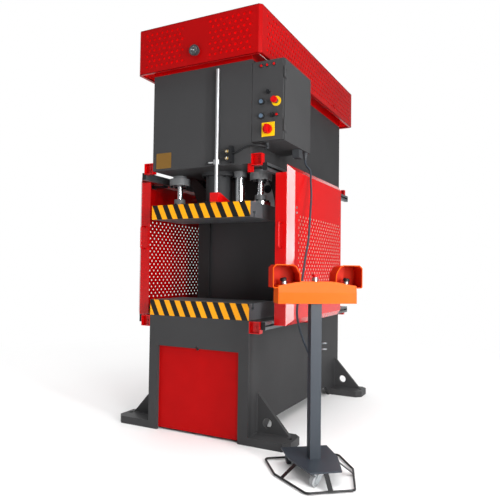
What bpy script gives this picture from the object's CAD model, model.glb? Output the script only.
import math

import bmesh
import bpy
from mathutils import Matrix, Vector


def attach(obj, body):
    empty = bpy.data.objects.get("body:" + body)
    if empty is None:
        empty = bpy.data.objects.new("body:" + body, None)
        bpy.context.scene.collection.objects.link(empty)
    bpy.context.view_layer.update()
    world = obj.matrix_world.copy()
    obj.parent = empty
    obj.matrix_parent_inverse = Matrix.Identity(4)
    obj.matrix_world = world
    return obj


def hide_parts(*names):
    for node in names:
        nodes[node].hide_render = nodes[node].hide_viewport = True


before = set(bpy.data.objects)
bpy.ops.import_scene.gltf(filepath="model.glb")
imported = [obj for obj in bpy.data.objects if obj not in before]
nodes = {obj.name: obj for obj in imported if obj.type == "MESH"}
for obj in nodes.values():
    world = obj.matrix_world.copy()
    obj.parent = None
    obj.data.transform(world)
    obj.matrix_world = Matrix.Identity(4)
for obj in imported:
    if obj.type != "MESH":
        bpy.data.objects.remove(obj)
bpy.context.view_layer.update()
frontY = -0.9  # the frame's front face
print("frame loaded:", len(nodes), "nodes")


def linear(hexText):
    parts = [int(hexText[i:i + 2], 16) / 255 for i in (1, 3, 5)]
    return [c / 12.92 if c <= 0.04045 else ((c + 0.055) / 1.055) ** 2.4 for c in parts] + [1.0]


def addNode(tree, kind, settings=None, links=None):
    node = tree.nodes.new(kind)
    for key, value in (settings or {}).items():
        if isinstance(key, int) or key in node.inputs:
            node.inputs[key].default_value = value
        else:
            setattr(node, key, value)
    for socket, source in (links or {}).items():
        tree.links.new(source, node.inputs[socket])
    return node


def startMaterial(name):
    material = bpy.data.materials.new(name)
    material.use_nodes = True
    tree = material.node_tree
    place = addNode(tree, "ShaderNodeTexCoord").outputs["Object"]
    return material, tree, tree.nodes["Principled BSDF"], place


# A coat or moulding: patch is the size in metres of its colour drift, grain that of its peel or texture.
# Real orange peel is 2 to 4 mm across. A moulding's texture is nearer 0.2 mm, drawn at about 1 mm to show.
def coat(name, s):
    material, tree, shader, place = startMaterial(name)
    spread = s.get("spread", 0.06)
    patchScale, grainScale = 1 / s.get("patch", 0.35), 1 / s.get("grain", 0.004)
    tones = {"data_type": "RGBA", 6: linear(s["colour"]), 7: linear(s["shade"])}
    relief = {"Strength": s.get("bump", 0.12), "Distance": 0.0004}
    drift = addNode(tree, "ShaderNodeTexNoise", {"Scale": patchScale, "Detail": 4.0}, {"Vector": place})
    peel = addNode(tree, "ShaderNodeTexNoise", {"Scale": grainScale, "Detail": 2.0}, {"Vector": place})
    shades = addNode(tree, "ShaderNodeMix", tones, {0: drift.outputs["Fac"]})
    gloss = addNode(tree, "ShaderNodeMapRange", {3: s["rough"] - spread, 4: s["rough"] + spread},
                    {0: drift.outputs["Fac"]})
    bump = addNode(tree, "ShaderNodeBump", relief, {"Height": peel.outputs["Fac"]})
    tree.links.new(shades.outputs[2], shader.inputs["Base Color"])
    tree.links.new(gloss.outputs[0], shader.inputs["Roughness"])
    tree.links.new(bump.outputs[0], shader.inputs["Normal"])
    shader.inputs["IOR"].default_value = 1.46  # typical of cured resins, rubbers and oils
    shader.inputs["Specular IOR Level"].default_value = s.get("sheen", 0.35)
    return material


# A machined metal with smudges in its gloss: marks are the sizes of its tool marks along X, Y and Z, in
# millimetres. Real ones are about 0.2 mm apart, too fine to show, so they are drawn 1 mm apart or more.
def metal(name, s):
    material, tree, shader, place = startMaterial(name)
    scale = [1000 / mm for mm in s["marks"]]
    smear = 0.07143  # the width of a hand's smear
    tones = {"data_type": "RGBA", 6: linear(s["colour"]), 7: linear(s["shade"])}
    relief = {"Strength": s.get("bump", 0.08), "Distance": 0.0002}
    stretch = addNode(tree, "ShaderNodeMapping", {"Scale": scale}, {"Vector": place})
    marks = addNode(tree, "ShaderNodeTexNoise", {"Scale": 1.0, "Detail": 3.0}, {"Vector": stretch.outputs[0]})
    smudge = addNode(tree, "ShaderNodeTexNoise", {"Scale": 1 / smear, "Detail": 5.0}, {"Vector": place})
    shades = addNode(tree, "ShaderNodeMix", tones, {0: marks.outputs["Fac"]})
    gloss = addNode(tree, "ShaderNodeMapRange", {3: s["rough"] * 0.75, 4: s["rough"] * 1.3},
                    {0: smudge.outputs["Fac"]})
    bump = addNode(tree, "ShaderNodeBump", relief, {"Height": marks.outputs["Fac"]})
    tree.links.new(shades.outputs[2], shader.inputs["Base Color"])
    tree.links.new(gloss.outputs[0], shader.inputs["Roughness"])
    tree.links.new(bump.outputs[0], shader.inputs["Normal"])
    shader.inputs["Metallic"].default_value = 1.0
    return material


# Sprayed satin paint on welded plate: an even dark grey with a broad, soft sheen.
bodyPaint = coat("satinGreyPaint", {
    "colour": "#424243", "shade": "#3b3b3c", "rough": 0.46, "sheen": 0.1, "grain": 0.003, "bump": 0.1})
# The same spray on the large side plates: a shade darker, with hardly any sheen.
sidePaint = coat("satinGreyPaintSide", {
    "colour": "#3b3b3c", "shade": "#343435", "rough": 0.5, "sheen": 0.07, "grain": 0.003, "bump": 0.1})
# The same spray inside the throat: dark, with a dull shine.
wallPaint = coat("satinGreyPaintDark", {
    "colour": "#3c3c3e", "shade": "#343436", "rough": 0.5, "grain": 0.003, "bump": 0.1})
# Sprayed pale paint: light and clean against the dark frame.
palePaint = coat("paleGreyPaint", {"colour": "#dcdedf", "shade": "#d0d3d4", "rough": 0.45})
# Smooth baked powder: a deep red that takes a sharp white line along a bend.
redPaint = coat("redPowderCoat", {
    "colour": "#c40305", "shade": "#b80204", "rough": 0.2, "grain": 0.0025, "bump": 0.06, "sheen": 0.42})
# Baked powder of a deeper red: softer highlights.
coverRed = coat("redPowderCoatDeep", {
    "colour": "#a50204", "shade": "#9a0103", "rough": 0.3, "grain": 0.0025, "bump": 0.06, "sheen": 0.25})
# Matt baked powder: no highlights, slightly cloudy.
panelRed = coat("redPowderCoatMatt", {
    "colour": "#b30305", "shade": "#a10203", "rough": 0.55, "patch": 0.11, "grain": 0.0025, "bump": 0.12,
    "sheen": 0.12})
# Sprayed bright red: it stays lighter than the cover when seen through the vents.
linerRed = coat("brightRedPaint", {
    "colour": "#f80a0c", "shade": "#ee0709", "rough": 0.5, "grain": 0.0025, "bump": 0.1, "sheen": 0.1})
# Punched steel without paint: pale rims in the guards' holes.
cutEdge = coat("bareCutEdge", {
    "colour": "#e2d3c4", "shade": "#d2c2b2", "rough": 0.5, "patch": 0.02, "grain": 0.001})
# Baked powder: a warm orange with a soft gloss over a light orange peel.
orangePaint = coat("orangePowderCoat", {
    "colour": "#e25c0a", "shade": "#d85306", "rough": 0.34, "sheen": 0.1, "grain": 0.0025, "bump": 0.14})
# Baked powder: a red-orange, duller than the console.
hoodPaint = coat("redOrangePowderCoat", {
    "colour": "#c6270d", "shade": "#bb2009", "rough": 0.4, "sheen": 0.08, "grain": 0.0025, "bump": 0.14})
# Sprayed blue-grey paint: a cool satin.
bluePaint = coat("blueGreyPaint", {"colour": "#343a42", "shade": "#2d333a", "rough": 0.4, "grain": 0.003})
# Dipped enamel: black, with a clear line of light along a bar.
blackEnamel = coat("blackEnamel", {"colour": "#141516", "shade": "#1c1d1f", "rough": 0.3})
# Sprayed enamel: a cool blue with a satin gloss.
motorEnamel = coat("motorEnamel", {"colour": "#4e6273", "shade": "#445767", "rough": 0.4, "grain": 0.002})
# Sand-cast iron, oiled: a coarse skin with dull glints.
castIron = coat("oiledCastIron", {
    "colour": "#3c3f42", "shade": "#4a4d50", "rough": 0.55, "grain": 0.0015, "bump": 0.35, "patch": 0.05})
# Moulded ABS from an etched mould: black with an even, soft sheen.
blackPlastic = coat("mouldedBlackPlastic", {
    "colour": "#17181a", "shade": "#1e1f21", "rough": 0.45, "grain": 0.0008, "bump": 0.2, "patch": 0.05})
# Moulded ABS from a polished mould, in three colours: full and clean, with small highlights.
redPlastic = coat("mouldedRedPlastic", {
    "colour": "#c40d10", "shade": "#b5090c", "rough": 0.3, "patch": 0.03, "grain": 0.001})
yellowPlastic = coat("mouldedYellowPlastic", {
    "colour": "#f0c010", "shade": "#e6b20a", "rough": 0.4, "patch": 0.03, "grain": 0.001})
greyPlastic = coat("mouldedBlueGreyPlastic", {
    "colour": "#5b6d80", "shade": "#506172", "rough": 0.35, "patch": 0.03, "grain": 0.001})
# Moulded nylon, dark and pale: waxy, with wide and weak highlights.
fittingPlastic = coat("greyNylon", {
    "colour": "#3b3d40", "shade": "#343639", "rough": 0.5, "patch": 0.05, "grain": 0.001})
greyNylon = coat("paleGreyNylon", {
    "colour": "#a2a4a6", "shade": "#949698", "rough": 0.45, "patch": 0.02, "grain": 0.001})
# Moulded rubber: dull black, greyer where it is rubbed.
wheelRubber = coat("mouldedRubber", {
    "colour": "#232426", "shade": "#2d2e30", "rough": 0.7, "grain": 0.001, "bump": 0.25, "patch": 0.03})
# Baked dial enamel: a plain grey ground for the pale marks.
dialEnamel = coat("greyDialEnamel", {
    "colour": "#4b4d4f", "shade": "#434547", "rough": 0.4, "patch": 0.02, "grain": 0.001})
# Extruded rubber sheath: dull, with a blue cast.
cableRubber = coat("cableRubber", {
    "colour": "#2c333b", "shade": "#363e47", "rough": 0.55, "grain": 0.0012, "bump": 0.2, "patch": 0.05})
# Grey primer on turned steel: a flat mid grey.
bushSteel = coat("greyPrimedSteel", {
    "colour": "#7d7f81", "shade": "#6d6f71", "rough": 0.45, "grain": 0.0015, "patch": 0.08})
# Phosphated steel: dark crystals without a shine.
phosphate = coat("phosphatedSteel", {
    "colour": "#37383a", "shade": "#2f3032", "rough": 0.6, "grain": 0.0015, "patch": 0.08})
# Turned steel: rings that draw the light into bands.
groundSteel = metal("turnedSteel", {
    "colour": "#b9bcbf", "shade": "#9fa3a6", "rough": 0.3, "marks": (33.33, 33.33, 1.111)})
# Cold-drawn bar: pale, with a blurred shine along its length.
brightSteel = metal("drawnBrightSteel", {
    "colour": "#dcdee0", "shade": "#cdd0d2", "rough": 0.42, "marks": (16.67, 16.67, 1.111)})
# Ground and chromed rod: nearly a mirror, with sharp light and dark streaks.
hardChrome = metal("hardChrome", {
    "colour": "#dfe2e4", "shade": "#d2d5d8", "rough": 0.16, "marks": (16.67, 16.67, 1.111), "bump": 0.02})
# Honed and nitrided steel: a dark satin.
darkSteel = metal("nitridedSteel", {
    "colour": "#6c6f73", "shade": "#595c60", "rough": 0.32, "marks": (25, 25, 1.4286)})
# Galvanised rolled section: dull grey, streaked along its length.
galvanised = metal("galvanisedSteel", {
    "colour": "#8f9497", "shade": "#7b8083", "rough": 0.5, "marks": (2.5, 66.67, 2.5)})
# Zinc-plated steel: pale with a soft shine.
zincPlate = metal("zincPlate", {"colour": "#c9ced1", "shade": "#b4babd", "rough": 0.34, "marks": (2, 50, 2)})
# Blackened steel: nearly black, with small glints on its edges.
blackOxide = metal("blackOxideSteel", {
    "colour": "#2a2b2d", "shade": "#1d1e20", "rough": 0.4, "marks": (3.333, 3.333, 3.333)})
# Turned brass: warm and bright.
brass = metal("turnedBrass", {
    "colour": "#d8b56a", "shade": "#c7a052", "rough": 0.28, "marks": (3.333, 3.333, 3.333)})
# Brushed and gold-anodised aluminium: fine level lines in a warm shine.
goldPlate = metal("brushedGoldAnodised", {
    "colour": "#bd9150", "shade": "#ad8244", "rough": 0.36, "marks": (40, 40, 1.4286)})
print("coats and metals made")

# Ground steel plate with hazard bands painted on its front: worn amber and black over a grey, milled satin.
# The mill's marks are drawn 4 mm apart, since the real 0.3 mm would not show. Facing and depth keep the bands
# on the front face, out of the T-slot.
hazard = {"lean": 25, "period": 0.0855, "amber": "#fbab08", "worn": "#ef9a05", "black": "#0f0f11",
          "wear": 0.01667, "marks": (125, 3.846, 3.846), "rough": (0.3, 0.48), "facing": -0.9, "depth": 0.002}


def stripedPlate(name, s):
    material, tree, shader, place = startMaterial(name)
    slope = math.tan(math.radians(hazard["lean"]))
    scale = [1000 / mm for mm in hazard["marks"]]
    stripes = {"operation": "MULTIPLY_ADD", 1: 1 / hazard["period"], 2: s["shift"]}
    ambers = {"data_type": "RGBA", 6: linear(hazard["amber"]), 7: linear(hazard["worn"])}
    tones = {"data_type": "RGBA", 6: linear(s["colour"]), 7: linear(s["shade"])}
    normal = addNode(tree, "ShaderNodeTexCoord").outputs["Normal"]
    axes = addNode(tree, "ShaderNodeSeparateXYZ", None, {0: place})
    lean = addNode(tree, "ShaderNodeMath", {"operation": "MULTIPLY_ADD", 1: slope},
                   {0: axes.outputs["Z"], 2: axes.outputs["X"]})
    count = addNode(tree, "ShaderNodeMath", stripes, {0: lean.outputs[0]})
    part = addNode(tree, "ShaderNodeMath", {"operation": "FRACT"}, {0: count.outputs[0]})
    band = addNode(tree, "ShaderNodeMath", {"operation": "GREATER_THAN", 1: 0.5}, {0: part.outputs[0]})
    wear = addNode(tree, "ShaderNodeTexNoise", {"Scale": 1 / hazard["wear"], "Detail": 6.0},
                   {"Vector": place})
    amber = addNode(tree, "ShaderNodeMix", ambers, {0: wear.outputs["Fac"]})
    bands = addNode(tree, "ShaderNodeMix", {"data_type": "RGBA", 6: linear(hazard["black"])},
                    {0: band.outputs[0], 7: amber.outputs[2]})
    facing = addNode(tree, "ShaderNodeSeparateXYZ", None, {0: normal})
    turned = addNode(tree, "ShaderNodeMath", {"operation": "LESS_THAN", 1: hazard["facing"]},
                     {0: facing.outputs["Y"]})
    near = addNode(tree, "ShaderNodeMath", {"operation": "LESS_THAN", 1: frontY + hazard["depth"]},
                   {0: axes.outputs["Y"]})
    front = addNode(tree, "ShaderNodeMath", {"operation": "MULTIPLY"},
                    {0: turned.outputs[0], 1: near.outputs[0]})
    stretch = addNode(tree, "ShaderNodeMapping", {"Scale": scale}, {"Vector": place})
    marks = addNode(tree, "ShaderNodeTexNoise", {"Scale": 1.0, "Detail": 4.0}, {"Vector": stretch.outputs[0]})
    plate = addNode(tree, "ShaderNodeMix", tones, {0: marks.outputs["Fac"]})
    colour = addNode(tree, "ShaderNodeMix", {"data_type": "RGBA"},
                     {0: front.outputs[0], 6: plate.outputs[2], 7: bands.outputs[2]})
    gloss = addNode(tree, "ShaderNodeMapRange", {3: hazard["rough"][0], 4: hazard["rough"][1]},
                    {0: wear.outputs["Fac"]})
    bump = addNode(tree, "ShaderNodeBump", {"Strength": 0.08, "Distance": 0.0003},
                   {"Height": marks.outputs["Fac"]})
    tree.links.new(colour.outputs[2], shader.inputs["Base Color"])
    tree.links.new(gloss.outputs[0], shader.inputs["Roughness"])
    tree.links.new(bump.outputs[0], shader.inputs["Normal"])
    shader.inputs["Specular IOR Level"].default_value = 0.3
    return material


tablePlate = stripedPlate("stripedTablePlate", {"shift": 0.853, "colour": "#5a5c5f", "shade": "#4c4e51"})
ramPlate = stripedPlate("stripedRamPlate", {"shift": 0.143, "colour": "#56585b", "shade": "#494b4e"})

finishes = {
    sidePaint: "side_plate_left side_plate_right",
    bodyPaint: "base_front_plate head_front_plate head_plate jaw_plate rear_plate top_deck feet "
               "control_box control_door",
    wallPaint: "throat_wall",
    panelRed: "front_panel",
    redPaint: "guard_rails guard_left guard_right trip_bracket oil_tank",
    coverRed: "plinth cover_skirt",
    tablePlate: "table",
    ramPlate: "ram",
    bushSteel: "guide_bushes",
    groundSteel: "button_collars",
    hardChrome: "guide_rods stop_rod",
    brightSteel: "trip_rod",
    phosphate: "piston_rod cylinder_gland",
    darkSteel: "cylinder_barrel",
    zincPlate: "castor_fork",
    galvanised: "guard_tracks",
    blackPlastic: "sensor_block guard_shoes_left guard_shoes_right key_switch selector "
                  "palm_button_left palm_button_right",
    brass: "sensors",
    motorEnamel: "motor",
    castIron: "pump valve_block",
    fittingPlastic: "cable_fittings pressure_gauge",
    yellowPlastic: "legend_plates",
    redPlastic: "pilot_lamps main_switch_knob door_stop_button stand_stop_button",
    greyPlastic: "button_upper button_lower",
    bluePaint: "stand",
    blackEnamel: "stand_hoop",
    orangePaint: "console",
    hoodPaint: "console_hoods",
    greyNylon: "castor_wheel",
    wheelRubber: "rear_wheel_left rear_wheel_right",
    cableRubber: "control_cable",
}
for material, names in finishes.items():
    for name in names.split():
        slots = nodes[name].data.materials
        slots.clear()
        slots.append(material)
print("CAD nodes painted")

# Camera at the photograph's place; focal and frame are in pixels, sensor in millimetres.
view = {"place": (1.917, -3.876, 1.104), "yaw": 27.22, "pitch": 1.96, "roll": 0.75,
        "focal": 532.5, "frame": 500, "sensor": 36, "reach": 60}
yaw, pitch, roll = (math.radians(view[k]) for k in ("yaw", "pitch", "roll"))
ahead = Vector((-math.sin(yaw) * math.cos(pitch), math.cos(yaw) * math.cos(pitch), math.sin(pitch)))
level = Vector((math.cos(yaw), math.sin(yaw), 0))
upright = level.cross(ahead)
right = math.cos(roll) * level + math.sin(roll) * upright
up = math.cos(roll) * upright - math.sin(roll) * level
camera = bpy.data.objects.new("camera", bpy.data.cameras.new("camera"))
camera.data.lens = view["focal"] / view["frame"] * view["sensor"]
camera.data.sensor_width = view["sensor"]
camera.data.clip_end = view["reach"]
camera.matrix_world = Matrix((right, up, -ahead)).transposed().to_4x4()
camera.matrix_world.translation = Vector(view["place"])
bpy.context.scene.collection.objects.link(camera)
bpy.context.scene.camera = camera
print("camera placed")


# Points on a smooth curve through the route, the same curve as the CAD tube's.
def smoothRoute(route, steps):
    p = [Vector(q) for q in route]
    last = len(p) - 1
    out = []
    for i in range(last):
        a, b, c, d = p[max(i - 1, 0)], p[i], p[i + 1], p[min(i + 2, last)]
        for j in range(steps):
            t = j / steps
            square, cube = 2 * a - 5 * b + 4 * c - d, 3 * b - a - 3 * c + d
            out.append(0.5 * (2 * b + (c - a) * t + square * t * t + cube * t ** 3))
    return out + [p[last]]


# A path with its inner corners rounded off; a corner takes less than half of the shorter leg.
def roundCorners(path, radius, steps=6):
    p = [Vector(q) for q in path]
    out = [p[0]]
    for a, b, c in zip(p, p[1:], p[2:]):
        u, v = (a - b).normalized(), (c - b).normalized()
        half = u.angle(v) / 2
        reach = min(radius / math.tan(half), 0.45 * min((a - b).length, (c - b).length))
        for k in range(steps + 1):
            t = k / steps
            out.append((b + u * reach) * (1 - t) ** 2 + b * 2 * t * (1 - t) + (b + v * reach) * t ** 2)
    return out + [p[-1]]


# A round bar along a path, with one radius or a list of them.
def tube(mesh, path, radii, sides=16, closed=False):
    n = len(path)
    turns = [2 * math.pi * k / sides for k in range(sides)]
    rings = []
    side = None
    for i, p in enumerate(path):
        back, front = path[max(i - 1, 0)], path[min(i + 1, n - 1)]
        if closed:
            back, front = path[i - 1], path[(i + 1) % n]
        t = (Vector(front) - Vector(back)).normalized()
        side = t.orthogonal() if side is None else side - t * side.dot(t)
        side.normalize()
        over = t.cross(side)
        r = radii[i] if isinstance(radii, list) else radii
        spokes = [math.cos(a) * side + math.sin(a) * over for a in turns]
        rings.append([mesh.verts.new(Vector(p) + r * spoke) for spoke in spokes])
    pairs = list(zip(rings, rings[1:])) + ([(rings[-1], rings[0])] if closed else [])
    for a, b in pairs:
        for k in range(sides):
            mesh.faces.new((a[k], a[(k + 1) % sides], b[(k + 1) % sides], b[k])).smooth = True
    if not closed:
        mesh.faces.new(list(reversed(rings[0])))
        mesh.faces.new(rings[-1])


# Turns a mesh into an object that rides on a body; second is the material of the faces with index 1.
def addPiece(name, mesh, material, body, replaced=(), matrix=None, second=None):
    bmesh.ops.recalc_face_normals(mesh, faces=mesh.faces)
    if matrix:
        mesh.transform(matrix)
        if matrix.determinant() < 0:
            bmesh.ops.reverse_faces(mesh, faces=mesh.faces)
    data = bpy.data.meshes.new(name)
    mesh.to_mesh(data)
    mesh.free()
    data.materials.append(material)
    data.materials.append(second or material)
    piece = bpy.data.objects.new(name, data)
    bpy.context.scene.collection.objects.link(piece)
    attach(piece, body)
    if replaced:
        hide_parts(*replaced)
    return piece


def lengthOf(path):
    return sum((Vector(b) - Vector(a)).length for a, b in zip(path, path[1:]))


# A cord's point given in millimetres, measured from the frame's front face.
def routePoint(x, y, z):
    return Vector((x / 1000, frontY + y / 1000, z / 1000))


stand = {"x": 0.896, "y": frontY - 0.203, "turn": math.radians(38)}
standPlace = Matrix.Translation((stand["x"], stand["y"], 0)) @ Matrix.Rotation(stand["turn"], 4, "Z")
postOut = Vector((-math.sin(stand["turn"]), math.cos(stand["turn"]), 0))

# Control cable, from the gland under the control box to the gland on the stand's post; points in millimetres.
cable = {"diameter": 0.013, "steps": 6, "boxGland": (0.588, frontY + 0.418, 1.8496),
         "postGlandZ": 0.61, "postGlandOut": 0.0604, "straight": 0.012, "turnOut": 0.026, "turnUp": 0.007,
         "start": [(0, 0, 0), (0, 0, -14), (9, -5, -40), (29, -14, -61), (46, -22, -84)],
         "middle": [(641, 388, 1736), (647, 371, 1695), (664, 340, 1609), (676, 300, 1514), (686, 260, 1422),
                    (700, 200, 1289), (704, 140, 1173), (714, 70, 1052), (727, -35, 905), (744, -85, 830),
                    (768, -104, 760), (794, -110, 695), (820, -118, 645)]}
postGlandEnd = Vector((stand["x"], stand["y"], cable["postGlandZ"])) + cable["postGlandOut"] * postOut
cableRoute = [Vector(cable["boxGland"]) + Vector(d) / 1000 for d in cable["start"]]
cableRoute += [routePoint(*p) for p in cable["middle"]]
cableRoute += [postGlandEnd + cable["turnOut"] * postOut + Vector((0, 0, cable["turnUp"])),
               postGlandEnd + cable["straight"] * postOut, postGlandEnd]
cablePath = smoothRoute(cableRoute, cable["steps"])
mesh = bmesh.new()
tube(mesh, cablePath, cable["diameter"] / 2)
cablePiece = addPiece("controlCable", mesh, cableRubber, "frame", ["control_cable"])
print("cable length", round(lengthOf(cablePath), 3))

# Corrugated conduit, from the sensor block to the elbow under the control box; points in millimetres.
conduit = {"diameter": 0.016, "valley": 0.0066, "steps": 16, "sides": 14,
           "start": [(263.4, -20, 1838), (275.4, -20, 1838)],
           "middle": [(287.8, -20, 1840), (320.4, -20, 1856), (357.8, -20, 1872), (390.5, -20, 1876),
                      (409.3, -20, 1876), (432.6, -15, 1875), (452.2, -1, 1875), (465.2, 20, 1875)],
           "end": [(470, 32.6, 1875), (470, 44.6, 1875)]}
conduitRoute = [routePoint(*p) for p in conduit["start"] + conduit["middle"] + conduit["end"]]
conduitPath = smoothRoute(conduitRoute, conduit["steps"])
ribs = [conduit["diameter"] / 2 if i % 2 == 0 else conduit["valley"] for i in range(len(conduitPath))]
mesh = bmesh.new()
tube(mesh, conduitPath, ribs, conduit["sides"])
conduitPiece = addPiece("sensorConduit", mesh, blackPlastic, "frame", ["control_cable"])
print("conduit length", round(lengthOf(conduitPath), 3))


# A flat sheet with staggered round holes in one or more fields, as two skins and the hole walls between them.
def perforatedSheet(mesh, corner, u, v, inward, size, fields, heights, pitch, rowStep, holeD):
    corner, u, v, inward = Vector(corner), Vector(u), Vector(v), Vector(inward)
    tiny = 1e-6

    def at(a, b, depth):
        return mesh.verts.new(corner + u * a + v * b + inward * depth)

    def plain(a0, b0, a1, b1):
        if a1 - a0 > tiny and b1 - b0 > tiny:
            for depth in (0, 1):
                mesh.faces.new([at(a, b, depth) for a, b in ((a0, b0), (a1, b0), (a1, b1), (a0, b1))])

    def pierced(ca, cb, ha, hb):
        turn = math.atan2(hb, ha)
        quarter = [0, turn / 2, turn, (turn + math.pi / 2) / 2]
        angles = quarter + [math.pi / 2] + [math.pi - q for q in reversed(quarter[1:])]
        angles = angles + [a + math.pi for a in angles]
        rim = []
        for depth in (0, 1):
            edge, hole = [], []
            for a in angles:
                c, s = math.cos(a), math.sin(a)
                reach = min(ha / max(abs(c), 1e-9), hb / max(abs(s), 1e-9))
                edge.append(at(ca + reach * c, cb + reach * s, depth))
                hole.append(at(ca + holeD / 2 * c, cb + holeD / 2 * s, depth))
            for k in range(len(angles)):
                m = (k + 1) % len(angles)
                mesh.faces.new((edge[k], edge[m], hole[m], hole[k]))
            rim.append(hole)
        for k in range(len(angles)):
            m = (k + 1) % len(angles)
            mesh.faces.new((rim[0][k], rim[0][m], rim[1][m], rim[1][k])).material_index = 1

    rows = int((heights[1] - heights[0]) / rowStep + tiny)
    low = (heights[0] + heights[1] - rows * rowStep) / 2
    high = low + rows * rowStep
    plain(0, 0, size[0], low)
    plain(0, high, size[0], size[1])
    left = 0
    for f0, f1 in fields:
        cols = int((f1 - f0) / pitch + tiny)
        start = (f0 + f1 - cols * pitch) / 2
        plain(left, low, start, high)
        for j in range(rows):
            shift = pitch / 2 * (j % 2)
            b = low + (j + 0.5) * rowStep
            if shift:
                plain(start, b - rowStep / 2, start + shift, b + rowStep / 2)
                plain(start + (cols - 0.5) * pitch, b - rowStep / 2, start + cols * pitch, b + rowStep / 2)
            for i in range(cols - (j % 2)):
                pierced(start + shift + (i + 0.5) * pitch, b, pitch / 2, rowStep / 2)
        left = start + cols * pitch
    plain(left, low, size[0], high)


# A closed solid between two loops of points.
def slab(mesh, outer, inner):
    a = [mesh.verts.new(Vector(p)) for p in outer]
    b = [mesh.verts.new(Vector(p)) for p in inner]
    n = len(a)
    mesh.faces.new(a)
    mesh.faces.new(list(reversed(b)))
    for k in range(n):
        mesh.faces.new((a[k], b[k], b[(k + 1) % n], a[(k + 1) % n]))


# Rectangles for slabs: facing X, facing Y, facing Z, and upright between two points of a plan.
def sideLoop(x, y0, z0, y1, z1):
    return [(x, y0, z0), (x, y1, z0), (x, y1, z1), (x, y0, z1)]


def frontLoop(y, x0, z0, x1, z1):
    return [(x0, y, z0), (x1, y, z0), (x1, y, z1), (x0, y, z1)]


def flatLoop(z, x0, y0, x1, y1):
    return [(x0, y0, z), (x1, y0, z), (x1, y1, z), (x0, y1, z)]


def wallLoop(p, q, low, high):
    return [(*p, low), (*q, low), (*q, high), (*p, high)]


# Sliding guards: a bevelled, perforated side panel, a front strip and a welded pull handle.
guard = {"x": 0.619, "y": (frontY + 0.128, frontY + 1.167), "z": (0.742, 1.771), "bevel": 0.04,
         "sheet": 0.003, "strip": 0.079, "step": 0.05, "pitch": 0.05, "row": 0.0245, "hole": 0.0135,
         "fieldY": (frontY + 0.2, frontY + 1.121), "fieldZ": (0.078, 0.683), "handleZ": 1.317,
         "handleLen": 0.158, "handleOut": 0.045, "handleD": 0.012, "handleBend": 0.014,
         "handleShift": 0.005, "weldIn": 0.001}
for sideName, mirror in (("right", None), ("left", Matrix.Scale(-1, 4, (1, 0, 0)))):
    mesh = bmesh.new()
    x, (y0, y1), (z0, z1), e, t = guard["x"], guard["y"], guard["z"], guard["bevel"], guard["sheet"]
    fieldY = (guard["fieldY"][0] - y0 - e, guard["fieldY"][1] - y0 - e)
    flatSize = (y1 - y0 - 2 * e, z1 - z0 - 2 * e)
    perforatedSheet(mesh, (x, y0 + e, z0 + e), (0, 1, 0), (0, 0, 1), (-t, 0, 0), flatSize, [fieldY],
                    guard["fieldZ"], guard["pitch"], guard["row"], guard["hole"])
    # How far the bevel's inner face sits in from its outer one, at the edge and at the flat.
    k, m = t * math.sqrt(2), t * (math.sqrt(2) - 1)
    outFlat = sideLoop(x, y0 + e, z0 + e, y1 - e, z1 - e)
    outEdge = sideLoop(x - e, y0, z0, y1, z1)
    inFlat = sideLoop(x - t, y0 + e + m, z0 + e + m, y1 - e - m, z1 - e - m)
    inEdge = sideLoop(x - e, y0 + k, z0 + k, y1 - k, z1 - k)
    for i in range(4):
        j = (i + 1) % 4
        slab(mesh, [outEdge[i], outEdge[j], outFlat[j], outFlat[i]],
             [inEdge[i], inEdge[j], inFlat[j], inFlat[i]])
    x0, x1, stripTop = x - e - guard["strip"], x - e, z1 - guard["step"]
    slab(mesh, frontLoop(y0, x0, z0, x1, stripTop), frontLoop(y0 + t, x0, z0, x1, stripTop))
    hx = x - e - guard["strip"] / 2 + guard["handleShift"]
    hy, rootY = y0 - guard["handleOut"], y0 + guard["weldIn"]
    low, high = guard["handleZ"] - guard["handleLen"] / 2, guard["handleZ"] + guard["handleLen"] / 2
    grip = [(hx, rootY, low), (hx, hy, low), (hx, hy, high), (hx, rootY, high)]
    tube(mesh, roundCorners(grip, guard["handleBend"]), guard["handleD"] / 2)
    addPiece("guardSheet_" + sideName, mesh, redPaint, "guard_" + sideName,
             ["guard_" + sideName], mirror, cutEdge)
print("guards made")


# The plan of a box with its corners cut off.
def octagon(x, y0, y1, cut):
    return [(cut - x, y0), (x - cut, y0), (x, y0 + cut), (x, y1 - cut),
            (x - cut, y1), (cut - x, y1), (-x, y1 - cut), (-x, y0 + cut)]


# Top cover: four vented walls with chamfered corners and turned-in edges.
# The liner's two faces lie at these shares of the way from the lip's inner edge to the outside.
cover = {"x": 0.478, "y": (frontY - 0.067, 0.987), "z": (2.44, 2.75), "corner": 0.018, "sheet": 0.003,
         "lip": 0.02, "pitch": 0.042, "row": 0.0365, "hole": 0.0195, "endField": (0.085, 0.425),
         "sideMargin": 0.04, "fieldZ": (0.028, 0.285), "liner": (0.7, 0.75), "linerLow": 0.018}
mesh = bmesh.new()
x, (y0, y1), (z0, z1), c, t = cover["x"], cover["y"], cover["z"], cover["corner"], cover["sheet"]
h, wide, deep = z1 - z0, 2 * (x - c), y1 - y0 - 2 * c
vents = (cover["fieldZ"], cover["pitch"], cover["row"], cover["hole"])
near, far = cover["endField"]
endFields = [(x - c - far, x - c - near), (x - c + near, x - c + far)]
sideFields = [(cover["sideMargin"], deep - cover["sideMargin"])]
perforatedSheet(mesh, (c - x, y0, z0), (1, 0, 0), (0, 0, 1), (0, t, 0), (wide, h), endFields, *vents)
perforatedSheet(mesh, (c - x, y1, z0), (1, 0, 0), (0, 0, 1), (0, -t, 0), (wide, h), endFields, *vents)
for s in (-1, 1):
    perforatedSheet(mesh, (s * x, y0 + c, z0), (0, 1, 0), (0, 0, 1), (-s * t, 0, 0), (deep, h),
                    sideFields, *vents)
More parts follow.
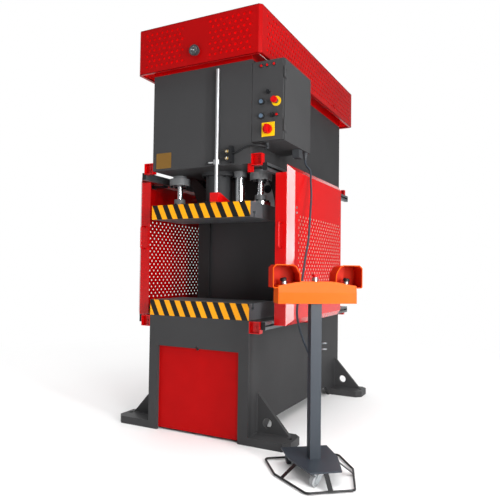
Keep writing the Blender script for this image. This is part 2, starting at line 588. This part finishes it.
corners = [(x, y0 + c, x - c, y0), (x, y1 - c, x - c, y1), (-x, y0 + c, c - x, y0), (-x, y1 - c, c - x, y1)]
for ax, ay, bx, by in corners:
    ox, oy = -math.copysign(t * math.sqrt(0.5), ax), math.copysign(t * math.sqrt(0.5), -by)
    slab(mesh, wallLoop((ax, ay), (bx, by), z0, z1), wallLoop((ax + ox, ay + oy), (bx + ox, by + oy), z0, z1))
lip = cover["lip"]
outline = octagon(x, y0, y1, c)
inline = octagon(x - lip, y0 + lip, y1 - lip, c - lip * (2 - math.sqrt(2)))
for za, zb in ((z0, z0 + t), (z1, z1 - t)):
    for i in range(8):
        j = (i + 1) % 8
        quad = [outline[i], outline[j], inline[j], inline[i]]
        slab(mesh, [(*p, za) for p in quad], [(*p, zb) for p in quad])
addPiece("coverSheet", mesh, coverRed, "frame", ["cover_skirt"])
# An inner sheet hangs from the upper edge, behind the vents.
linerZ = z0 + cover["linerLow"]
linerIn, linerOut = ([(px + (ox - px) * share, py + (oy - py) * share)
                      for (px, py), (ox, oy) in zip(inline, outline)] for share in cover["liner"])
mesh = bmesh.new()
for i in range(8):
    j = (i + 1) % 8
    slab(mesh, wallLoop(linerOut[i], linerOut[j], linerZ, z1 - t),
         wallLoop(linerIn[i], linerIn[j], linerZ, z1 - t))
addPiece("coverLiner", mesh, linerRed, "frame")
print("cover made")


# A profile of (radius, height) pairs turned about an axis.
def lathe(mesh, place, axis, profile, sides=32, smooth=False):
    put = Matrix.Translation(place) @ Vector((0, 0, 1)).rotation_difference(Vector(axis)).to_matrix().to_4x4()
    angles = [2 * math.pi * k / sides for k in range(sides)]
    rings = [[mesh.verts.new(put @ Vector((r * math.cos(t), r * math.sin(t), h))) for t in angles]
             for r, h in profile]
    for low, high in zip(rings, rings[1:]):
        for k in range(sides):
            mesh.faces.new((low[k], low[(k + 1) % sides], high[(k + 1) % sides], high[k])).smooth = smooth
    mesh.faces.new(list(reversed(rings[0])))
    mesh.faces.new(rings[-1])


# A screw with a hexagon socket, or a hexagon head on a washer; its profile is in shares of the head.
def screw(mesh, place, axis, headD, headH, socket=True):
    r, h = headD / 2, headH
    if socket:
        profile = [(r, 0), (r, h * 0.85), (r * 0.88, h), (r * 0.58, h), (r * 0.55, h * 0.45)]
    else:
        profile = [(r * 1.25, 0), (r * 1.25, h * 0.2), (r, h * 0.21), (r, h * 0.9), (r * 0.9, h)]
    lathe(mesh, place, axis, profile, 20 if socket else 6)


# Places on a level bolt circle.
def ring(centre, radius, count, turn=0.0):
    angles = [2 * math.pi * k / count + turn for k in range(count)]
    return [Vector(centre) + radius * Vector((math.cos(a), math.sin(a), 0)) for a in angles]


# Socket screws in the guide flanges, the cylinder's gland and the ram; size is head diameter and height.
guideX = (-0.331, 0.331)
axisY = frontY + 0.255
down, upward, outward = (0, 0, -1), (0, 0, 1), (0, -1, 0)
flangeScrews = {"headZ": 1.7, "headCircle": 0.06, "ramZ": 1.554, "ramCircle": 0.05, "count": 6,
                "turn": math.pi / 6, "size": (0.018, 0.012)}
glandScrews = {"z": 1.742, "circle": 0.104, "count": 10, "size": (0.014, 0.01)}
rodScrews = {"z": 1.56, "circle": 0.104, "count": 8, "turn": 0.2, "size": (0.018, 0.012)}
mesh = bmesh.new()
for gx in guideX:
    for p in ring((gx, axisY, flangeScrews["headZ"]), flangeScrews["headCircle"], flangeScrews["count"],
                  flangeScrews["turn"]):
        screw(mesh, p, down, *flangeScrews["size"])
for p in ring((0, axisY, glandScrews["z"]), glandScrews["circle"], glandScrews["count"]):
    screw(mesh, p, down, *glandScrews["size"])
addPiece("headScrews", mesh, blackOxide, "frame")
mesh = bmesh.new()
for gx in guideX:
    for p in ring((gx, axisY, flangeScrews["ramZ"]), flangeScrews["ramCircle"], flangeScrews["count"],
                  flangeScrews["turn"]):
        screw(mesh, p, upward, *flangeScrews["size"])
for p in ring((0, axisY, rodScrews["z"]), rodScrews["circle"], rodScrews["count"], rodScrews["turn"]):
    screw(mesh, p, upward, *rodScrews["size"])
addPiece("ramScrews", mesh, blackOxide, "ram")

# Raised collars round the guide rods on the ram; the profile closes just above where it starts.
collar = {"z": (1.5543, 1.6), "outer": 0.0405, "bore": 0.0213, "chamfer": 0.003, "seam": 0.0002, "sides": 40}
(za, zb), outer, bore, chamfer = collar["z"], collar["outer"], collar["bore"], collar["chamfer"]
collarProfile = [(bore, za), (outer, za), (outer, zb - chamfer), (outer - chamfer, zb), (bore, zb),
                 (bore, za + collar["seam"])]
mesh = bmesh.new()
for gx in guideX:
    lathe(mesh, (gx, axisY, 0), upward, collarProfile, collar["sides"])
addPiece("guideCollars", mesh, bushSteel, "ram")
print("screws made")


# A flat plate with rounded corners, its face turned to -Y.
def facePlate(mesh, x0, z0, x1, z1, radius, face, back):
    loop = []
    left, right, low, high = x0 + radius, x1 - radius, z0 + radius, z1 - radius
    for cx, cz, start in ((right, high, 0), (left, high, 90), (left, low, 180), (right, low, 270)):
        for k in range(5):
            t = math.radians(start + 22.5 * k)
            loop.append((cx + radius * math.cos(t), cz + radius * math.sin(t)))
    slab(mesh, [(x, face, z) for x, z in loop], [(x, back, z) for x, z in loop])


# Bare plate on the head, held by four rivets.
namePlate = {"x": (-0.355, -0.23), "z": (1.784, 1.891), "thick": 0.0015, "corner": 0.006, "inset": 0.008,
             "rivet": [(0.0032, 0), (0.0028, 0.0012), (0.0014, 0.0019)], "rivetSides": 14}
mesh = bmesh.new()
(x0, x1), (z0, z1), y = namePlate["x"], namePlate["z"], frontY - namePlate["thick"]
facePlate(mesh, x0, z0, x1, z1, namePlate["corner"], y, frontY)
for px in (x0 + namePlate["inset"], x1 - namePlate["inset"]):
    for pz in (z0 + namePlate["inset"], z1 - namePlate["inset"]):
        lathe(mesh, (px, y, pz), outward, namePlate["rivet"], namePlate["rivetSides"], True)
addPiece("namePlate", mesh, goldPlate, "frame")

# Pale cover plate on the throat wall, with a rubber grommet where the hose goes through.
wallPlate = {"x": (0.167, 0.28), "z": (1.53, 1.768), "face": -0.284, "back": -0.28, "corner": 0.004,
             "insetX": 0.012, "insetZ": 0.014, "screw": (0.01, 0.006), "grommetAt": (0.213, -0.284, 1.698),
             "grommet": [(0.03, 0), (0.03, 0.006), (0.027, 0.009), (0.02, 0.009), (0.017, 0.005),
                         (0.016, 0.001)]}
mesh = bmesh.new()
(x0, x1), (z0, z1) = wallPlate["x"], wallPlate["z"]
facePlate(mesh, x0, z0, x1, z1, wallPlate["corner"], wallPlate["face"], wallPlate["back"])
addPiece("wallPlate", mesh, palePaint, "frame")
mesh = bmesh.new()
lathe(mesh, wallPlate["grommetAt"], outward, wallPlate["grommet"], smooth=True)
addPiece("hoseGrommet", mesh, wheelRubber, "frame")
mesh = bmesh.new()
for px in (x0 + wallPlate["insetX"], x1 - wallPlate["insetX"]):
    for pz in (z0 + wallPlate["insetZ"], z1 - wallPlate["insetZ"]):
        screw(mesh, (px, wallPlate["face"], pz), outward, *wallPlate["screw"])
addPiece("wallPlateScrews", mesh, zincPlate, "frame")

# Red angle bracket under the head, beside the right guide: a stepped front leg and a top leg, with screws.
headBracket = {"x": (0.356, 0.384), "footX": 0.398, "y": (-0.889, -0.883), "rear": -0.845,
               "z": (1.714, 1.7695), "footZ": 1.7505, "top": (1.7645, 1.7699), "screwX": 0.37,
               "topScrewY": -0.864, "topScrew": (0.013, 0.008), "frontScrewZ": 1.732,
               "frontScrew": (0.011, 0.006)}
mesh = bmesh.new()
(x0, x1), footX, (y0, y1) = headBracket["x"], headBracket["footX"], headBracket["y"]
(z0, z1), footZ, (topLow, topHigh) = headBracket["z"], headBracket["footZ"], headBracket["top"]
leg = [(x0, z0), (footX, z0), (footX, footZ), (x1, footZ), (x1, z1), (x0, z1)]
slab(mesh, [(x, y0, z) for x, z in leg], [(x, y1, z) for x, z in leg])
slab(mesh, *(flatLoop(z, x0, y1, x1, headBracket["rear"]) for z in (topLow, topHigh)))
screw(mesh, (headBracket["screwX"], headBracket["topScrewY"], topLow), down, *headBracket["topScrew"])
screw(mesh, (headBracket["screwX"], y0, headBracket["frontScrewZ"]), outward, *headBracket["frontScrew"])
addPiece("headBracket", mesh, redPaint, "frame")

# Recessed end plates in the guard brackets' tubes, each with a hexagon plug.
bracketPlug = {"x": 0.4225, "z": (1.792, 0.733), "half": 0.0322, "front": frontY + 0.026, "rear": 0.83,
               "thick": 0.003, "corner": 0.001, "plug": [(0.007, 0), (0.007, 0.004), (0.0055, 0.005)]}
mesh = bmesh.new()
for x in (-bracketPlug["x"], bracketPlug["x"]):
    for z in bracketPlug["z"]:
        h = bracketPlug["half"]
        for y in (bracketPlug["front"], bracketPlug["rear"] - bracketPlug["thick"]):
            facePlate(mesh, x - h, z - h, x + h, z + h, bracketPlug["corner"], y, y + bracketPlug["thick"])
            lathe(mesh, (x, y, z), outward, bracketPlug["plug"], 6)
addPiece("bracketPlugs", mesh, redPaint, "frame")

# Black end caps on the guard tracks.
trackCap = {"x": (0.461, 0.489), "z": ((0.7215, 0.7695), (1.721, 1.769)), "rear": 0.8362,
            "front": frontY + 0.0198, "thick": 0.004, "corner": 0.0008}
mesh = bmesh.new()
for sign in (-1, 1):
    x0, x1 = sorted(sign * x for x in trackCap["x"])
    for za, zb in trackCap["z"]:
        for y in (trackCap["rear"], trackCap["front"] - trackCap["thick"]):
            facePlate(mesh, x0, za, x1, zb, trackCap["corner"], y, y + trackCap["thick"])
addPiece("trackCaps", mesh, blackPlastic, "frame")

# Pressure gauge: a grey dial with pale tick marks and a needle; a mark is inner radius, outer radius, width.
gauge = {"centre": Vector((0, -0.993, 2.528)), "radius": 0.029, "edge": 0.001, "thick": (0.0006, 0.0008),
         "ticks": 21, "every": 5, "sweep": 270, "reading": 62, "longTick": (0.019, 0.026, 0.0014),
         "shortTick": (0.022, 0.026, 0.0007), "tickY": (-0.0011, -0.0007), "needle": (-0.007, 0.023, 0.0018),
         "needleY": (-0.0024, -0.0017), "hubY": -0.0007,
         "hub": [(0.0034, 0), (0.0034, 0.0022), (0.0024, 0.003)]}


# A flat bar on the gauge's dial, pointing out from its centre.
def radial(mesh, angle, r0, r1, width, y0, y1):
    d = Vector((math.sin(angle), 0, math.cos(angle)))
    w = Vector((math.cos(angle), 0, -math.sin(angle))) * width / 2
    quad = [gauge["centre"] + d * r + w * k for r, k in ((r0, -1), (r0, 1), (r1, 1), (r1, -1))]
    slab(mesh, [q + Vector((0, y0, 0)) for q in quad], [q + Vector((0, y1, 0)) for q in quad])


mesh = bmesh.new()
lathe(mesh, gauge["centre"], outward, [(gauge["radius"], 0), (gauge["radius"], gauge["thick"][0]),
                                       (gauge["radius"] - gauge["edge"], gauge["thick"][1])], 48)
addPiece("gaugeDial", mesh, dialEnamel, "frame")
mesh = bmesh.new()
for k in range(gauge["ticks"]):
    turn = gauge["sweep"] * (k / (gauge["ticks"] - 1) - 0.5)
    tick = gauge["shortTick" if k % gauge["every"] else "longTick"]
    radial(mesh, math.radians(turn), *tick, *gauge["tickY"])
radial(mesh, math.radians(gauge["reading"] - gauge["sweep"] / 2), *gauge["needle"], *gauge["needleY"])
lathe(mesh, gauge["centre"] + Vector((0, gauge["hubY"], 0)), outward, gauge["hub"], 20)
addPiece("gaugeNeedle", mesh, palePaint, "frame")
print("plates and gauge made")

# Sensors: black sensing caps and two thin lock nuts on each brass barrel.
sensor = {"heights": (1.808, 1.853), "y": frontY - 0.022, "cap": (0.1716, 0.212),
          "capRadii": (0.0085, 0.0094, 0.0091), "capEdge": 0.001, "nuts": (0.2165, 0.236),
          "nut": [(0.0118, 0), (0.0132, 0.001), (0.0132, 0.005), (0.0118, 0.006)]}
mesh = bmesh.new()
capLen, (tipR, capR, endR) = sensor["cap"][1] - sensor["cap"][0], sensor["capRadii"]
capProfile = [(tipR, 0), (capR, sensor["capEdge"]), (capR, capLen - sensor["capEdge"]), (endR, capLen)]
for z in sensor["heights"]:
    lathe(mesh, (sensor["cap"][0], sensor["y"], z), (1, 0, 0), capProfile, 28)
addPiece("sensorCaps", mesh, blackPlastic, "frame")
mesh = bmesh.new()
for z in sensor["heights"]:
    for x in sensor["nuts"]:
        lathe(mesh, (x, sensor["y"], z), (1, 0, 0), sensor["nut"], 6)
addPiece("sensorNuts", mesh, zincPlate, "frame")

# Black ball on the trip rod's lever; the arc runs from pole to pole in degrees.
ball = {"radius": 0.012, "place": (0.075, frontY - 0.022, 1.789), "arc": range(8, 173, 12)}
mesh = bmesh.new()
angles = [math.radians(degrees) for degrees in ball["arc"]]
arc = [(ball["radius"] * math.sin(a), -ball["radius"] * math.cos(a)) for a in angles]
lathe(mesh, ball["place"], (-1, 0, 0), arc, 24, True)
addPiece("leverBall", mesh, blackPlastic, "ram")

# Latch knob in the notch above the access panel.
latch = {"place": (0, frontY + 0.02, 0.566),
         "profile": [(0.009, 0), (0.009, 0.009), (0.0078, 0.012), (0.0035, 0.012), (0.003, 0.0105)]}
mesh = bmesh.new()
lathe(mesh, latch["place"], outward, latch["profile"], 28)
addPiece("panelLatch", mesh, blackPlastic, "frame")

# Black rings round the door's lamps and push buttons, at (x, z) on the door.
bezel = {"lamps": ((0.452, 2.379), (0.493, 2.379), (0.54, 2.379), (0.561, 2.058)),
         "buttons": ((0.457, 2.15), (0.457, 2.059)),
         "lampWall": [(0.0112, 0), (0.0112, 0.004), (0.0098, 0.0055), (0.0078, 0.0055), (0.0076, 0.003)],
         "buttonWall": [(0.0187, 0), (0.0187, 0.0118), (0.0172, 0.0132), (0.0139, 0.0132), (0.0137, 0.0121),
                        (0.0185, 0.0121)]}
mesh = bmesh.new()
for x, z in bezel["lamps"]:
    lathe(mesh, (x, frontY, z), outward, bezel["lampWall"], 32)
for x, z in bezel["buttons"]:
    lathe(mesh, (x, frontY, z), outward, bezel["buttonWall"], 36)
addPiece("doorBezels", mesh, blackPlastic, "control_door")
print("control details made")

# Stand hoop: one bent bar with rounded corners and five flat struts under the plate; plan in millimetres.
hoop = {"path": [(222, 222), (222, -16), (126, -282), (-126, -282), (-222, -16), (-222, 222)],
        "struts": [((122.1, -60), (200.3, -76)), ((-122.1, -60), (-200.3, -76)), ((60, 185), (60, 222)),
                   ((-60, 185), (-60, 222)), ((0, -210), (0, -282))],
        "z": 0.01, "radius": 0.006, "bend": 0.03, "bendSteps": 8, "sides": 14, "strutHalf": 0.0125,
        "tuck": 0.012, "plateZ": (0.072, 0.067), "barZ": (0.0125, 0.0075)}
mesh = bmesh.new()
points = [Vector((x / 1000, y / 1000, hoop["z"])) for x, y in hoop["path"]]
middle = (points[0] + points[-1]) / 2
bar = roundCorners([middle] + points + [middle], hoop["bend"], hoop["bendSteps"])
tube(mesh, bar[:-1], hoop["radius"], hoop["sides"], True)
for a, b in hoop["struts"]:
    a, b = Vector((*a, 0)) / 1000, Vector((*b, 0)) / 1000
    along = (b - a).normalized()
    across = along.cross(Vector((0, 0, 1))) * hoop["strutHalf"]
    edge = [(a - along * hoop["tuck"], hoop["plateZ"]), (a, hoop["plateZ"]), (b, hoop["barZ"])]
    for (p, pz), (q, qz) in zip(edge, edge[1:]):
        quad = [(p - across, pz), (q - across, qz), (q + across, qz), (p + across, pz)]
        slab(mesh, *([v + Vector((0, 0, z[k])) for v, z in quad] for k in (0, 1)))
addPiece("standHoop", mesh, blackEnamel, "frame", ["stand_hoop"], standPlace)

# Rolled rims along the hoods' front edges; the scoop's points are (out from the foot, down from the top).
hood = {"half": 0.22, "out": 0.03, "low": 1.003, "top": 1.125, "foot": 0.099, "front": -0.0575, "gap": 0.001,
        "chamfer": 0.015, "scoop": ((0.044, 0), (0.026, 0.009), (0.0045, 0.044)), "deck": 1.0355,
        "bend": 0.008, "radius": 0.0024}
mesh = bmesh.new()
half, out, low, top, foot = (hood[k] for k in ("half", "out", "low", "top", "foot"))
edge = [(half + hood["gap"], low), (half + out, low), (half + out, top - hood["chamfer"]),
        (half + out - hood["chamfer"], top)]
edge += [(foot + dx, top - dz) for dx, dz in hood["scoop"]] + [(foot, hood["deck"])]
for sign in (-1, 1):
    rim = roundCorners([(sign * x, hood["front"], z) for x, z in edge], hood["bend"], 4)
    tube(mesh, rim, hood["radius"], 10)
addPiece("hoodRims", mesh, orangePaint, "frame", (), standPlace)

# Cable hook on the post: two wire loops, each sloping down by its drop.
hook = {"heights": (0.668, 0.7), "x": (0.03, 0.066), "root": 0.018, "tip": 0.014, "drop": 0.006,
        "bend": 0.012, "radius": 0.0042}
mesh = bmesh.new()
(x0, x1), root, tip = hook["x"], hook["root"], hook["tip"]
for z in hook["heights"]:
    end = z - hook["drop"]
    loop = roundCorners([(x0, -root, z), (x1, -tip, z), (x1, tip, end), (x0, root, end)], hook["bend"], 6)
    tube(mesh, loop, hook["radius"], 12)
addPiece("postHook", mesh, galvanised, "frame", (), standPlace)
print("stand details made")

# Hexagon bolts round the rear hatch and the tank's lid; size is head width and height.
hatch = {"x": (-0.225, -0.075, 0.075, 0.225), "endZ": (0.435, 1.105), "sideZ": (0.6025, 0.77, 0.9375),
         "y": 0.904, "size": (0.016, 0.008)}
lid = {"x": (-0.28, -0.14, 0, 0.14, 0.28), "endY": (0.306, 0.794), "sideY": (0.428, 0.55, 0.672), "z": 2.655,
       "size": (0.014, 0.008)}
hatchPlaces = [(x, z) for x in hatch["x"] for z in hatch["endZ"]]
hatchPlaces += [(x, z) for x in (hatch["x"][0], hatch["x"][-1]) for z in hatch["sideZ"]]
lidPlaces = [(x, y) for x in lid["x"] for y in lid["endY"]]
lidPlaces += [(x, y) for y in lid["sideY"] for x in (lid["x"][0], lid["x"][-1])]
mesh = bmesh.new()
for x, z in hatchPlaces:
    screw(mesh, (x, hatch["y"], z), (0, 1, 0), *hatch["size"], False)
for x, y in lidPlaces:
    screw(mesh, (x, y, lid["z"]), upward, *lid["size"], False)
addPiece("frameBolts", mesh, zincPlate, "frame")

# Painted bolts that hold the cover on its brackets, two in each wall.
coverBolt = {"x": 0.1925, "y": 0.45, "z": 2.502, "size": (0.014, 0.007)}
mesh = bmesh.new()
for x in (-coverBolt["x"], coverBolt["x"]):
    for y, facing in zip(cover["y"], (-1, 1)):
        screw(mesh, (x, y, coverBolt["z"]), (0, facing, 0), *coverBolt["size"], False)
for y in (-coverBolt["y"], coverBolt["y"]):
    for sign in (-1, 1):
        screw(mesh, (sign * cover["x"], y, coverBolt["z"]), (sign, 0, 0), *coverBolt["size"], False)
addPiece("coverBolts", mesh, coverRed, "frame")

# Bolts of the guards' carrying arms.
guardBolt = {"y": -0.706, "z": (1.464, 1.498), "size": (0.012, 0.006)}
for sideName, sign in (("right", 1), ("left", -1)):
    mesh = bmesh.new()
    for z in guardBolt["z"]:
        screw(mesh, (sign * guard["x"], guardBolt["y"], z), (sign, 0, 0), *guardBolt["size"], False)
    addPiece("guardBolts_" + sideName, mesh, zincPlate, "guard_" + sideName)

# Weld beads where the feet and gussets meet the side plates; distances along Y run from the front of a foot.
weld = {"radius": 0.0045, "step": 0.006, "ripple": (0.85, 1.15), "plateX": 0.385, "footY": (-0.9, 0.68),
        "ends": (0.004, 0.216), "gusset": (0.13, 0.16), "footZ": 0.05, "gussetZ": (0.054, 0.3),
        "gussetX": (0.389, 0.608)}


def bead(mesh, a, b):
    a, b = Vector(a), Vector(b)
    n = max(2, int((b - a).length / weld["step"]))
    radii = [weld["radius"] * weld["ripple"][k % 2] for k in range(n + 1)]
    tube(mesh, [a.lerp(b, k / n) for k in range(n + 1)], radii, 8)


mesh = bmesh.new()
for sign in (-1, 1):
    x, z = sign * weld["plateX"], weld["footZ"]
    for y0 in weld["footY"]:
        (start, end), (g0, g1) = ([y0 + d for d in weld[k]] for k in ("ends", "gusset"))
        bead(mesh, (x, start, z), (x, g0, z))
        bead(mesh, (x, g1, z), (x, end, z))
        for g in (g0, g1):
            bead(mesh, (x, g, weld["gussetZ"][0]), (x, g, weld["gussetZ"][1]))
            bead(mesh, (sign * weld["gussetX"][0], g, z), (sign * weld["gussetX"][1], g, z))
addPiece("weldBeads", mesh, bodyPaint, "frame")
print("bolts and welds made")

# A white backdrop behind the machine, a bright ceiling and a dim room elsewhere. The lens and see-through
# parts meet plain white in every direction, and gloss meets a share of it outside the backdrop.
# The floor turns white between two distances from the machine.
room = {"backdrop": (-0.457, 0.889, 0), "backEdge": (0.76, 0.86), "ceilingEdge": (0.6, 0.85), "white": 1.0,
        "dim": 0.08, "ceiling": 1.95, "gloss": 0.12, "floorFade": (1.8, 4.5), "floorSize": 60}

# Rolled pale floor paint: matt and nearly white, so that it holds a soft shadow.
floorPaint = coat("paleFloor", {
    "colour": "#f4f4f4", "shade": "#f1f1f1", "rough": 0.75, "spread": 0.05, "patch": 2.0})
tree = floorPaint.node_tree
away = addNode(tree, "ShaderNodeVectorMath", {"operation": "LENGTH"},
               {0: addNode(tree, "ShaderNodeTexCoord").outputs["Object"]})
fade = addNode(tree, "ShaderNodeMapRange", {1: room["floorFade"][0], 2: room["floorFade"][1]},
               {0: away.outputs["Value"]})
ray = addNode(tree, "ShaderNodeLightPath").outputs
seen = addNode(tree, "ShaderNodeMath", {"operation": "ADD", "use_clamp": True},
               {0: ray["Is Camera Ray"], 1: ray["Is Transmission Ray"]})
seen = addNode(tree, "ShaderNodeMath", {"operation": "ADD", "use_clamp": True},
               {0: seen.outputs[0], 1: ray["Is Glossy Ray"]})
share = addNode(tree, "ShaderNodeMath", {"operation": "MULTIPLY"}, {0: fade.outputs[0], 1: seen.outputs[0]})
white = addNode(tree, "ShaderNodeEmission", {"Color": (1, 1, 1, 1), "Strength": room["white"]})
blend = addNode(tree, "ShaderNodeMixShader", None,
                {0: share.outputs[0], 1: tree.nodes["Principled BSDF"].outputs[0], 2: white.outputs[0]})
tree.links.new(blend.outputs[0], tree.nodes["Material Output"].inputs["Surface"])
bpy.ops.mesh.primitive_plane_add(size=room["floorSize"], location=(0, 0, 0))
floor = bpy.context.object
floor.name = "floor"
floor.data.materials.append(floorPaint)

world = bpy.data.worlds.new("studio")
bpy.context.scene.world = world
world.use_nodes = True
sky = world.node_tree
toward = addNode(sky, "ShaderNodeTexCoord").outputs["Generated"]
behind = addNode(sky, "ShaderNodeVectorMath", {"operation": "DOT_PRODUCT", 1: room["backdrop"]}, {0: toward})
(low, high), (lowZ, highZ) = room["backEdge"], room["ceilingEdge"]
back = addNode(sky, "ShaderNodeMapRange", {1: low, 2: high, 3: room["dim"], 4: room["white"]},
               {0: behind.outputs["Value"]})
above = addNode(sky, "ShaderNodeSeparateXYZ", None, {0: toward})
ceiling = addNode(sky, "ShaderNodeMapRange", {1: lowZ, 2: highZ, 3: 0.0, 4: room["ceiling"]},
                  {0: above.outputs["Z"]})
strength = addNode(sky, "ShaderNodeMath", {"operation": "ADD"}, {0: back.outputs[0], 1: ceiling.outputs[0]})
ray = addNode(sky, "ShaderNodeLightPath").outputs
seen = addNode(sky, "ShaderNodeMath", {"operation": "MAXIMUM"},
               {0: ray["Is Camera Ray"], 1: ray["Is Transmission Ray"]})
gloss = addNode(sky, "ShaderNodeMath", {"operation": "MULTIPLY", 1: room["gloss"]}, {0: ray["Is Glossy Ray"]})
share = addNode(sky, "ShaderNodeMath", {"operation": "MAXIMUM"}, {0: seen.outputs[0], 1: gloss.outputs[0]})
shown = addNode(sky, "ShaderNodeMapRange", {4: room["white"]}, {0: share.outputs[0], 3: strength.outputs[0]})
sky.links.new(shown.outputs[0], sky.nodes["Background"].inputs["Strength"])
sky.nodes["Background"].inputs["Color"].default_value = (1, 1, 1, 1)

# Soft lamps: a tall strip that draws the line along the guards' bevels, a main, a weak fill and a top light.
lights = {"side": {"place": (4.75, -2.5, 1.7), "aim": (0.6, -0.6, 1.3), "size": (0.4, 3.4), "power": 190},
          "main": {"place": (4.2, -4.0, 2.0), "aim": (0, -0.5, 1.3), "size": (1.2, 1.6), "power": 125},
          "fill": {"place": (-4.2, -5.6, 2.8), "aim": (0, -0.6, 1.3), "size": (3.0, 3.0), "power": 10},
          "top": {"place": (0.6, -1.8, 6.5), "aim": (0, 0, 1.3), "size": (4.0, 4.0), "power": 40}}
for name, s in lights.items():
    lamp = bpy.data.objects.new(name, bpy.data.lights.new(name, "AREA"))
    lamp.data.shape = "RECTANGLE"
    lamp.data.size, lamp.data.size_y = s["size"]
    lamp.data.energy = s["power"]
    lamp.location = s["place"]
    lamp.rotation_euler = (Vector(s["aim"]) - Vector(s["place"])).to_track_quat("-Z", "Y").to_euler()
    bpy.context.scene.collection.objects.link(lamp)
bpy.context.scene.view_settings.view_transform = "Standard"
print("stage lit")
